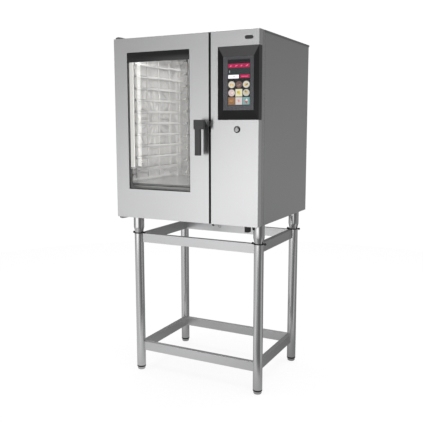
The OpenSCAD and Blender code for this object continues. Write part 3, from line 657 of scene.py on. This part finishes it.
def make_screen():
    """A generic cooking menu: a bar of symbols, two buttons and nine dish tiles. It has no lettering."""
    screen = Screen()
    black = glowing("screen_black", (0.004, 0.004, 0.005), 0.3)
    crimson = glowing("screen_crimson", (0.42, 0.006, 0.07), 0.95)
    rose = glowing("screen_rose", (0.9, 0.2, 0.33), 0.8)
    white = glowing("screen_white", (1.0, 1.0, 1.0), 1.0)
    dark = glowing("screen_dark", (0.022, 0.03, 0.03), 0.8)

    bm = bmesh.new()
    screen.field(bm, -0.015, -0.035, 1.015, 1.01, 1.2, 0, 0.05 * MM)
    screen.field(bm, 0.0, 0.165, 1.0, 0.30, 0.3, 4)
    screen.field(bm, 0.01, 0.062, 0.99, 0.155, 1.0, 1)
    symbol = ((0, 0.0, 4.6, 3.0), (-0.035, 0.012, 3.2, 2.2), (0.035, -0.008, 3.4, 2.4))
    for k in range(4):
        u = 0.135 + 0.245 * k
        for du, dv, ru, rv in symbol[:2 + k % 2]:
            screen.spot(bm, u + du, 0.108 + dv, ru * MM, rv * MM, 2, 0.08 * MM, 0.3 * k)
    for dv in (-0.012, 0.012):
        screen.spot(bm, 0.075, 0.235 + dv, 2.0 * MM, 1.5 * MM, 3, 0.05 * MM)
    screen.field(bm, 0.01, 0.312, 0.5, 0.395, 0.8, 3)
    screen.field(bm, 0.55, 0.308, 0.99, 0.39, 0.8, 1)
    screen.field(bm, 0.22, 0.35, 0.34, 0.362, 0.3, 2, 0.14 * MM)
    screen.field(bm, 0.62, 0.345, 0.92, 0.36, 0.3, 2, 0.14 * MM)
    piece("screen_menu", bm, "oven", [black, crimson, rose, white, dark])

    plate_tones = [(0.75, 0.68, 0.55), (0.16, 0.09, 0.08), (0.70, 0.66, 0.56),
                   (0.72, 0.6, 0.56), (0.80, 0.76, 0.50), (0.60, 0.58, 0.50),
                   (0.32, 0.16, 0.07), (0.72, 0.66, 0.63), (0.22, 0.42, 0.40)]
    food_tones = [((0.72, 0.45, 0.12), (0.85, 0.74, 0.45)), ((0.28, 0.14, 0.10), (0.35, 0.3, 0.22)),
                  ((0.70, 0.42, 0.06), (0.22, 0.2, 0.04)), ((0.75, 0.45, 0.36), (0.9, 0.85, 0.8)),
                  ((0.78, 0.60, 0.10), (0.4, 0.42, 0.1)), ((0.75, 0.52, 0.06), (0.35, 0.3, 0.05)),
                  ((0.55, 0.27, 0.10), (0.24, 0.2, 0.05)), ((0.80, 0.50, 0.42), (0.55, 0.2, 0.16)),
                  ((0.55, 0.10, 0.08), (0.85, 0.9, 0.9))]
    draw = random.Random(11)
    square_tiles = (4, 6, 7, 8)
    half_wide, half_tall = 0.158, 0.086
    plate_r = 20 * MM
    for tile in range(9):
        column, row = tile % 3, tile // 3
        u, v = 0.17 + 0.335 * column, 0.535 + 0.187 * row
        number = tile + 1
        shades = [glowing(f"dish_{number}_plate", plate_tones[tile], 0.8),
                  glowing(f"dish_{number}_food", food_tones[tile][0], 0.8),
                  glowing(f"dish_{number}_garnish", food_tones[tile][1], 0.8)]
        bm = bmesh.new()
        if tile in square_tiles:
            screen.field(bm, u - half_wide, v - half_tall, u + half_wide, v + half_tall, 1.0, 0)
        else:
            screen.spot(bm, u, v, plate_r, plate_r * 0.92, 0, 0.12 * MM, sides=32)
        for k in range(7):
            turn = draw.uniform(0, math.tau)
            away = draw.uniform(0.1, 0.55)
            screen.spot(bm, u + away * 0.11 * math.cos(turn), v + away * 0.07 * math.sin(turn),
                        draw.uniform(3.2, 7.0) * MM, draw.uniform(2.2, 4.6) * MM, 1 + k % 3 // 2,
                        (0.16 + 0.04 * k) * MM, draw.uniform(0, 3))
        piece(f"dish_tile_{number}", bm, "oven", shades)

    bm = bmesh.new()
    block(bm, (pane.x0 + 0.3 * MM, pane.y0 - 1.2 * MM, pane.z0 + 0.3 * MM),
          (pane.x1 - 0.3 * MM, pane.y0 - 0.8 * MM, pane.z1 - 0.3 * MM), 0.1 * MM, 1)
    piece("screen_cover", bm, "oven", COVER_GLASS)


# ---------- dial and badge ----------

def make_dial():
    """A low knurled knob with a turned face and a pointer mark."""
    r, depth = dial.size.x / 2, dial.size.y
    rim, grip_r, teeth = r * 0.92, r * 0.985, 40
    at = Vector((dial.mid.x, dial.y0, dial.mid.z))
    bm = bmesh.new()
    face = [(0, 0.5 * MM), (r * 0.62, 0.5 * MM), (r * 0.68, 0), (r * 0.84, 0), (rim, 0.5 * MM)]
    lathe(bm, at, Y, face, 64)
    grip = [(rim, 0.5 * MM), (grip_r, 1.6 * MM), (grip_r, depth - 0.4 * MM), (0, depth - 0.4 * MM)]
    lathe(bm, at, Y, grip, 96, 1)
    for t in turns(teeth):
        spot = at + Vector((math.cos(t), 0, math.sin(t))) * r * 0.968
        rod(bm, spot + Y * 1.7 * MM, spot + Y * (depth - 0.5 * MM), 0.44 * MM, 6, 1)
    # The pointer mark takes the lamp's glowing diffuser: painted light, as the knob holds no lamp.
    block(bm, (at.x - 0.7 * MM, dial.y0, at.z + r * 0.3),
          (at.x + 0.7 * MM, dial.y0 + 0.6 * MM, at.z + r * 0.8), 0.2 * MM, 1, 2)
    piece("dial_cap", bm, "dial_cap", [DIAL_FACE, DARK_METAL, LAMP_FRONT], 28, ["dial_knob"])


def make_badge():
    """A plain pill-shaped plate with a bright rim and no mark."""
    y0, y1 = badge.y0, badge.y1
    r = badge.size.z / 2
    rim = 1.2 * MM
    pill = round_outline(badge.x0 + rim, badge.x1 - rim, badge.z0 + rim, badge.z1 - rim, r - 1.3 * MM, 10)
    bm = bmesh.new()
    slabbed(bm, pill, y0 + 0.2 * MM, y1, 0.2 * MM)
    edge = [(0, y1), (0, y0 + 0.3 * MM), (-0.3 * MM, y0), (-1.0 * MM, y0),
            (-1.3 * MM, y0 + 0.3 * MM), (-1.3 * MM, y1)]
    rect_sweep(bm, badge.x0, badge.x1, badge.z0, badge.z1, r - 0.01 * MM, edge, 1, 10)
    piece("badge_pill", bm, "oven", [DARK_METAL, DOOR_EDGE_STEEL], replaces=["badge_plate"])


# ---------- casing details ----------

def make_rear_details():
    """The rear panel's screws, the hoods over its slots, and a blank plate."""
    back = rear.y1
    bm = bmesh.new()
    for z in spaced(rear.z0 + 20 * MM, rear.z1 - 20 * MM, 6):
        for x in (rear.x0 + 10 * MM, rear.x1 - 10 * MM):
            screw(bm, (x, back - 0.1 * MM, z), Y, 4 * MM)
    for x in spaced(rear.x0, rear.x1, 7)[1:-1]:
        screw(bm, (x, back - 0.1 * MM, rear.z0 + 12 * MM), Y, 4 * MM)
    piece("rear_screws", bm, "oven", PLAIN_STEEL)

    bm = bmesh.new()
    slot_top = 1706 * MM
    for row in range(10):
        for x0 in (200 * MM, 310 * MM):
            louvre_hood(bm, x0, x0 + 90 * MM, slot_top + row * 22 * MM)
    piece("rear_louvres", bm, "oven", REAR_STEEL)

    bm = bmesh.new()
    x0, x1, z0, z1 = -330 * MM, -210 * MM, 1220 * MM, 1290 * MM
    inset = 7 * MM
    block(bm, (x0, back - 0.05 * MM, z0), (x1, back + 0.7 * MM, z1), 0.3 * MM)
    for x in (x0 + inset, x1 - inset):
        for z in (z0 + inset, z1 - inset):
            screw(bm, (x, back + 0.6 * MM, z), Y, 2 * MM)
    piece("blank_rating_plate", bm, "oven", DOOR_EDGE_STEEL)


def louvre_hood(bm, x0, x1, z):
    """A pressed hood over one slot in the rear panel."""
    hood = in_mm((0, 0), (5, -4.5), (5, -5.6), (-0.1, 0.8))
    ends = [[bm.verts.new((x, rear.y1 + out, z + up)) for out, up in hood] for x in (x0, x1)]
    bm.faces.new(ends[0])
    bm.faces.new(ends[1][::-1])
    for k in range(len(hood)):
        n = (k + 1) % len(hood)
        bm.faces.new([ends[0][k], ends[1][k], ends[1][n], ends[0][n]])


def make_top_details():
    """A screwed collar and a rolled lip on each vent pipe, and the cover's own screws."""
    vents = Span("exhaust_pipes")
    pipe_r = vents.size.y / 2
    collar = in_mm((25.4, 0), (44, 0), (44, 1.2), (29, 2.2), (27.5, 5), (27.5, 12), (25.4, 12))
    screw_circle = 37 * MM
    bm = bmesh.new()
    for x in (vents.x0 + pipe_r, vents.x1 - pipe_r):
        y = vents.mid.y
        lathe(bm, (x, y, cover.z1), Z, collar, 48, closed=True)
        tube_ring(bm, (x, y, vents.z1 - 1.6 * MM), Z, 24.6 * MM, 1.6 * MM, 48)
        for t in turns(4):
            t += math.pi / 4
            spot = (x + screw_circle * math.cos(t), y + screw_circle * math.sin(t), cover.z1 + 1.3 * MM)
            screw(bm, spot, Z, 3 * MM)
    for x in (cover.x0 + 30 * MM, cover.x1 - 30 * MM):
        for y in spaced(cover.y0 + 60 * MM, cover.y1 - 60 * MM, 4):
            screw(bm, (x, y, cover.z1 - 0.1 * MM), Z, 3.6 * MM)
    piece("vent_collars", bm, "oven", PLAIN_STEEL)


def make_front_details():
    """A polished bead and a dark strip in the seam on the right side, the dark strip a painted shadow of the
    seam's gap, and the screws of the hinge brackets.
    """
    bm = bmesh.new()
    # The second strip is dark metal laid in the seam's shadow gap: painted shadow.
    for back, wide, tone in ((68 * MM, 1.6 * MM, 0), (82 * MM, 1.8 * MM, 1)):
        block(bm, (side.x1 - 0.3 * MM, FRONT + back, fascia.z0 + 0.5 * MM),
              (side.x1 + 0.35 * MM, FRONT + back + wide, cover.z0 - 0.5 * MM), 0.3 * MM, 2, tone)
    piece("side_seam_with_painted_shadow", bm, "oven", [DOOR_EDGE_STEEL, DARK_METAL])

    bm = bmesh.new()
    for name, up in (("top_hinge_bracket", 1), ("bottom_hinge_bracket", -1)):
        arm = Span(name)
        face = arm.z1 - 3.1 * MM if up > 0 else arm.z0 + 3.1 * MM
        for back in (14 * MM, 48 * MM):
            screw(bm, (arm.x0 + 14 * MM, arm.y1 - back, face), Z * up, 4.2 * MM)
    piece("hinge_screws", bm, "oven", PLAIN_STEEL)


def make_pipe_details():
    """Thread ridges and nuts on the water stubs, ribs on the gland, and two beads on the drain."""
    back = rear.y1
    inlets = Span("water_inlets")
    stub_r = 13.2
    nut = in_mm((stub_r, 0), (19, 0), (19, 3.4), (17.5, 4), (stub_r, 4))
    bm = bmesh.new()
    for x in (inlets.mid.x - 30 * MM, inlets.mid.x + 30 * MM):
        for k in range(9):
            at = (x, back + (6.9 + 2.0 * k) * MM, inlets.mid.z)
            tube_ring(bm, at, Y, (stub_r - 0.3) * MM, 0.75 * MM, 32, 6)
        lathe(bm, (x, back + 0.1 * MM, inlets.mid.z), Y, nut, 6, closed=True)
    piece("inlet_threads", bm, "oven", BRASS)

    bm = bmesh.new()
    gland = Span("cable_gland")
    for k in range(9):
        at = (gland.mid.x, back + (9.5 + 1.3 * k) * MM, gland.mid.z)
        tube_ring(bm, at, Y, 15.8 * MM, 0.45 * MM, 32, 6)
    piece("gland_ribs", bm, "oven", BLACK_PLASTIC)

    bm = bmesh.new()
    drain = Span("drain_pipe")
    outlet_z = rear.z0 + 70 * MM
    tube_ring(bm, (drain.mid.x, drain.y1 - 2.2 * MM, outlet_z), Y, 25.6 * MM, 1.3 * MM, 48)
    tube_ring(bm, (drain.mid.x, back + 1.2 * MM, outlet_z), Y, 27.4 * MM, 1.6 * MM, 48)
    piece("drain_beads", bm, "oven", PLAIN_STEEL)


# ---------- stand ----------

def make_stand_details():
    """Weld beads on the cross rails, bolts in the flanges, and the levelling feet."""
    legs = [Span(corner + "_leg") for corner in CORNERS]
    rails = [Span("upper_cross_rails"), Span("lower_cross_rails")]
    bm = bmesh.new()
    for leg in legs:
        inward_x = -1 if leg.mid.x > 0 else 1
        inward_y = -1 if leg.mid.y > 0 else 1
        reach = leg.size.x / 2
        for rail in rails:
            for out in (-3 * MM, 27 * MM):
                x = leg.mid.x + inward_x * math.sqrt(reach ** 2 - out ** 2)
                y = leg.mid.y + inward_y * out
                weld_bead(bm, Vector((x, y, rail.z0 + 2 * MM)), Vector((x, y, rail.z1 - 2 * MM)))
    piece("weld_beads", bm, "oven", LEG_STEEL)

    bm = bmesh.new()
    for leg in legs:
        for s in (-1, 1):
            at = Vector((leg.mid.x + s * 38 * MM, leg.mid.y, leg.z1 + 4 * MM))
            hex_head(bm, at, Z, 10 * MM, 6 * MM)
            rod(bm, at - Z * 9 * MM, at + Z * 1 * MM, 2.9 * MM, 12)
    piece("flange_bolts", bm, "oven", DARK_METAL)

    for corner in CORNERS:
        make_foot(corner)


def make_foot(corner):
    """A levelling foot: a round pad under a black collar that closes the leg's end."""
    foot = Span(corner + "_leveller")
    at = (foot.mid.x, foot.mid.y, 0)
    r = foot.size.x / 2
    pad = in_mm((0, 0), (18, 0), (22, 1.2), (24.4, 4.5), (25, 9), (25, 17), (24, 18.4), (0, 18.4))
    collar = [(0, 18.4 * MM), (r - 1.2 * MM, 18.4 * MM), (r, 19.8 * MM), (r, 26.4 * MM),
              (r - 1 * MM, 27.4 * MM), (24 * MM, 27.4 * MM), (24 * MM, foot.z1), (0, foot.z1)]
    bm = bmesh.new()
    lathe(bm, at, Z, pad, 48, 0)
    lathe(bm, at, Z, collar, 48, 1)
    piece(corner + "_foot_pad", bm, corner + "_foot", [FOOT_STEEL, BLACK_PLASTIC], 35,
          [corner + "_leveller"])


def weld_bead(bm, start, end):
    """A thin rippled bead: a row of flattened drops."""
    count = int((end - start).length / (3.2 * MM))
    for k in range(count):
        at = start.lerp(end, (k + 0.5) / count)
        bmesh.ops.create_icosphere(bm, subdivisions=1, radius=1.9 * MM,
                                   matrix=Matrix.Translation(at) @ Matrix.Diagonal((0.75, 0.75, 1.1, 1)))


# ---------- cavity ----------

def make_coves():
    """The cavity's coved corners."""
    x0, x1 = liner.x0 + LINER, liner.x1 - LINER
    y0, y1 = mouth.y1 + 3 * MM, liner.y1 - LINER
    z0, z1 = liner.z0 + LINER, liner.z1 - LINER
    bm = bmesh.new()
    for x, sx in ((x0, 1), (x1, -1)):
        for z, sz in ((z0, 1), (z1, -1)):
            cove(bm, Vector((x, y0, z)), Vector((x, y1, z)), X * sx, Z * sz)
        cove(bm, Vector((x, y1, z0)), Vector((x, y1, z1)), X * sx, -Y)
    for z, sz in ((z0, 1), (z1, -1)):
        cove(bm, Vector((x0, y1, z)), Vector((x1, y1, z)), -Y, Z * sz)
    piece("cavity_coves", bm, "oven", CAVITY_STEEL, 20)


def cove(bm, start, end, a, b):
    """A quarter-round fillet strip along a corner whose two walls face ways a and b."""
    r, steps = 16 * MM, 6
    previous = None
    for k in range(steps + 1):
        t = math.pi / 2 * k / steps
        offset = a * (r - r * math.sin(t)) + b * (r - r * math.cos(t))
        now = (bm.verts.new(start + offset), bm.verts.new(end + offset))
        if previous:
            bm.faces.new([previous[0], previous[1], now[1], now[0]])
        previous = now


def make_wall_star():
    """The pressing on the left wall: a ring of ridges that widen outward, between two round beads."""
    centre = Vector((liner.x0 + LINER, FAN_Y, FAN_Z))
    inner, outer = 46 * MM, 178 * MM
    inner_half, outer_half = 4 * MM, 13 * MM
    bm = bmesh.new()
    for t in turns(16):
        way = Vector((0, math.cos(t), math.sin(t)))
        across = Vector((0, -math.sin(t), math.cos(t)))
        low = [centre + way * inner - across * inner_half, centre + way * outer - across * outer_half,
               centre + way * outer + across * outer_half, centre + way * inner + across * inner_half]
        ridge = [centre + way * (inner + 8 * MM) + X * 5 * MM, centre + way * (outer - 12 * MM) + X * 6 * MM]
        a, b, c, d = (bm.verts.new(p) for p in low)
        e, f = (bm.verts.new(p) for p in ridge)
        for face in ((a, b, f, e), (b, c, f), (c, d, e, f), (d, a, e)):
            bm.faces.new(face)
    for radius in (34 * MM, 196 * MM):
        tube_ring(bm, centre + X * 0.5 * MM, X, radius, 4 * MM, 64, 10)
    piece("wall_star_pressing", bm, "oven", CAVITY_STEEL, 20)


def make_strainer():
    """A wire strainer in a rim over the drain."""
    at = Vector((Span("drain_pipe").mid.x, FAN_Y, liner.z0 + LINER))
    wires = at + Z * 1.2 * MM
    bm = bmesh.new()
    lathe(bm, at, Z, in_mm((24, 0.2), (34, 0.2), (34, 1), (24, 2)), 48, closed=True)
    for k in range(5):
        tube_ring(bm, wires, Z, (4 + 4.4 * k) * MM, 0.9 * MM, 40, 6)
    for t in turns(12)[:6]:
        way = Vector((math.cos(t), math.sin(t), 0)) * 24 * MM
        rod(bm, wires - way, wires + way, 0.8 * MM, 6)
    piece("floor_strainer", bm, "oven", RACK_STEEL)


def make_rack_wires():
    """A wire along each ledge's free edge, and the strut from its front end to the post."""
    levels = 10
    web = 14 * MM
    bm = bmesh.new()
    for rack, outward in ((Span("left_rack"), -1), (Span("right_rack"), 1)):
        post_x, edge_x = (rack.x0 + 4 * MM, rack.x1) if outward < 0 else (rack.x1 - 4 * MM, rack.x0)
        for z in spaced(rack.z0, rack.z1 - web, levels):
            rod(bm, (edge_x, rack.y0, z + 1 * MM), (edge_x, rack.y1, z + 1 * MM), 2.2 * MM, 10)
            rod(bm, (post_x, rack.y0 + 8 * MM, z + 7 * MM),
                (edge_x, rack.y0 + 2.5 * MM, z + 1 * MM), 2.0 * MM, 10)
    piece("rack_edge_wires", bm, "oven", RACK_STEEL)


make_window_trim()
make_lamp()
make_inner_glass_fittings()
make_door_screws()
make_handle()
make_screen()
make_dial()
make_badge()
make_rear_details()
make_top_details()
make_front_details()
make_pipe_details()
make_stand_details()
make_coves()
make_wall_star()
make_strainer()
make_rack_wires()


# ---------- studio ----------

def floor_material():
    """White to the camera. For the steel's reflections it glows in greys: a painted reflection, with painted
    shadow by depth near the oven, darker under the stand, and by direction beyond.
    """
    g = Graph("pale_floor")
    ahead = g.add("ShaderNodeVectorMath", operation="DOT_PRODUCT")
    ahead.inputs[1].default_value = (-0.36, -0.93, 0.0)
    g.join(g.place, ahead.inputs[0])
    # Painted shadow: the glow darkens under the stand and behind the oven, where the oven's shadow falls.
    near = g.tones(g.span(ahead.outputs["Value"], 0, 1, -1.2, 1.2), (0.0, (0.2,) * 3), (0.3, (0.25,) * 3),
                   (0.5, (0.38,) * 3), (0.8, (0.68,) * 3))
    turn = g.add("ShaderNodeTexGradient", gradient_type="RADIAL")
    g.join(g.place, turn.inputs["Vector"])
    around = ((0.0, 0.55), (0.10, 0.62), (0.16, 0.60), (0.18, 0.78), (0.21, 0.76), (0.25, 0.40),
              (0.30, 0.33), (0.344, 0.17), (0.42, 0.16), (0.455, 0.24), (0.475, 0.62), (0.50, 0.5),
              (0.55, 0.26), (0.66, 0.2), (0.75, 0.22), (0.88, 0.3), (1.0, 0.55))
    far = g.tones(turn.outputs["Fac"], *((place, (tone,) * 3) for place, tone in around))
    distance = g.add("ShaderNodeVectorMath", operation="LENGTH")
    g.join(g.place, distance.inputs[0])
    level = g.mix(g.span(distance.outputs["Value"], 0, 1, 0.75, 0.95), near, far)
    # The floor glows these greys to all but camera rays: a painted reflection, though the floor is no lamp.
    painted_reflection = g.add("ShaderNodeEmission")
    g.join(level, painted_reflection.inputs["Color"])
    g.put(Base_Color=(0.9, 0.9, 0.9), Roughness=0.9)
    white = g.add("ShaderNodeEmission")
    white.inputs["Color"].default_value = (1, 1, 1, 1)
    white.inputs["Strength"].default_value = 1.0
    plain = g.add("ShaderNodeMixShader")
    plain.inputs[0].default_value = 0.9
    g.join(g.shader.outputs[0], plain.inputs[1])
    g.join(white.outputs[0], plain.inputs[2])
    seen = g.add("ShaderNodeLightPath")
    final = g.add("ShaderNodeMixShader")
    g.join(seen.outputs["Is Camera Ray"], final.inputs[0])
    g.join(painted_reflection.outputs[0], final.inputs[1])
    g.join(plain.outputs[0], final.inputs[2])
    g.join(final.outputs[0], g.tree.nodes["Material Output"].inputs["Surface"])
    return g.material


def make_floor():
    """A round floor half a millimetre under the feet, as a stage piece."""
    bm = bmesh.new()
    bmesh.ops.create_circle(bm, cap_ends=True, segments=96, radius=4.5)
    mesh = bpy.data.meshes.new("studio_floor")
    bm.to_mesh(mesh)
    bm.free()
    mesh.materials.append(floor_material())
    floor = bpy.data.objects.new("studio_floor", mesh)
    floor.location.z = -0.0005
    bpy.context.scene.collection.objects.link(floor)


def make_world():
    """White to the camera. Elsewhere soft greys: bright low in front and overhead, dark behind and right."""
    world = bpy.data.worlds.new("studio")
    bpy.context.scene.world = world
    world.use_nodes = True
    tree = world.node_tree
    tree.nodes.clear()

    def add(kind, **values):
        node = tree.nodes.new(kind)
        for key, value in values.items():
            setattr(node, key, value)
        return node

    def ramp(value, *stops):
        node = add("ShaderNodeValToRGB")
        ramp_stops = node.color_ramp.elements
        while len(ramp_stops) < len(stops):
            ramp_stops.new(1.0)
        for element, (place, level) in zip(ramp_stops, stops):
            element.position = place
            element.color = (level, level, level, 1)
        tree.links.new(value, node.inputs[0])
        return node.outputs[0]

    def halved(value):
        """Maps -1..1 to 0..1."""
        node = add("ShaderNodeMath", operation="MULTIPLY_ADD")
        node.inputs[1].default_value = 0.5
        node.inputs[2].default_value = 0.5
        tree.links.new(value, node.inputs[0])
        return node.outputs[0]

    def mixed(share, a, b):
        node = add("ShaderNodeMix", data_type="RGBA")
        for socket, value in zip((node.inputs[0], node.inputs[6], node.inputs[7]), (share, a, b)):
            tree.links.new(value, socket)
        return node.outputs[2]

    way = add("ShaderNodeTexCoord").outputs["Generated"]
    split = add("ShaderNodeSeparateXYZ")
    tree.links.new(way, split.inputs[0])
    across, depth, height = (halved(split.outputs[axis]) for axis in "XYZ")
    ahead_left = ramp(height, (0.0, 0.8), (0.41, 0.94), (0.50, 0.60), (0.57, 0.25), (0.64, 0.18),
                      (0.75, 0.5), (0.85, 1.0))
    ahead_right = ramp(height, (0.0, 1.3), (0.43, 1.60), (0.50, 1.08), (0.57, 0.26), (0.64, 0.12),
                       (0.75, 0.5), (0.85, 1.0))
    right = ramp(height, (0.0, 0.3), (0.45, 0.16), (0.56, 0.10), (0.70, 0.25), (0.85, 0.95))
    left = ramp(height, (0.0, 0.5), (0.45, 0.42), (0.56, 0.30), (0.70, 0.35), (0.85, 0.95))
    behind = ramp(height, (0.0, 0.5), (0.40, 0.33), (0.49, 0.28), (0.57, 0.24), (0.63, 0.12),
                  (0.72, 0.15), (0.85, 0.9))
    ahead = mixed(ramp(across, (0.20, 0.0), (0.32, 1.0)), ahead_left, ahead_right)
    ahead = mixed(ramp(across, (0.50, 0.0), (0.78, 1.0)), ahead, right)
    ahead = mixed(ramp(across, (0.05, 1.0), (0.19, 0.0)), ahead, left)
    level = mixed(ramp(depth, (0.35, 0.0), (0.62, 1.0)), ahead, behind)

    lit = add("ShaderNodeBackground")
    tree.links.new(level, lit.inputs["Color"])
    lit.inputs["Strength"].default_value = 1.0
    plain = add("ShaderNodeBackground")
    plain.inputs["Color"].default_value = (1, 1, 1, 1)
    plain.inputs["Strength"].default_value = 1.02
    seen = add("ShaderNodeLightPath")
    final = add("ShaderNodeMixShader")
    tree.links.new(seen.outputs["Is Camera Ray"], final.inputs[0])
    tree.links.new(lit.outputs[0], final.inputs[1])
    tree.links.new(plain.outputs[0], final.inputs[2])
    tree.links.new(final.outputs[0], add("ShaderNodeOutputWorld").inputs[0])


def area_light(name, at, target, size, radiance, size_y=None):
    """A soft box whose face has that radiance."""
    data = bpy.data.lights.new(name, "AREA")
    data.shape = "RECTANGLE"
    data.size = size
    data.size_y = size_y or size
    data.energy = radiance * math.pi * data.size * data.size_y
    light = bpy.data.objects.new(name, data)
    light.location = at
    light.rotation_euler = (Vector(target) - Vector(at)).to_track_quat("-Z", "Y").to_euler()
    bpy.context.scene.collection.objects.link(light)
    return light


def make_camera():
    """A long lens from the front right at eye height, looking a little down."""
    down, roll, left = math.radians(8.24), math.radians(0.08), math.radians(27.33)
    data = bpy.data.cameras.new("camera")
    data.sensor_width = 36
    data.lens = 51.675
    camera = bpy.data.objects.new("camera", data)
    camera.location = (1.7421, -3.4061, 1.5896)
    camera.rotation_euler = (math.pi / 2 - down, roll, left)
    bpy.context.scene.collection.objects.link(camera)
    bpy.context.scene.camera = camera


make_floor()
make_world()
make_camera()
area_light("overhead", (0.2, -0.3, 5.2), (0.2, -0.3, 0), 5.0, 3.6)

# The cavity has a lamp under its ceiling, and a broad one that faces the left wall.
middle = Vector((-0.19, FRONT + 0.34, liner.mid.z))
under_ceiling = Vector((middle.x, middle.y, liner.z1 - 0.03))
area_light("cavity_lamp", under_ceiling, middle, 0.3, 1.6, 0.42)
area_light("cavity_fill", middle + X * 0.14, middle, 0.5, 0.84, 0.72).visible_camera = False

scene = bpy.context.scene
scene.view_settings.view_transform = "Standard"
scene.view_settings.look = "None"
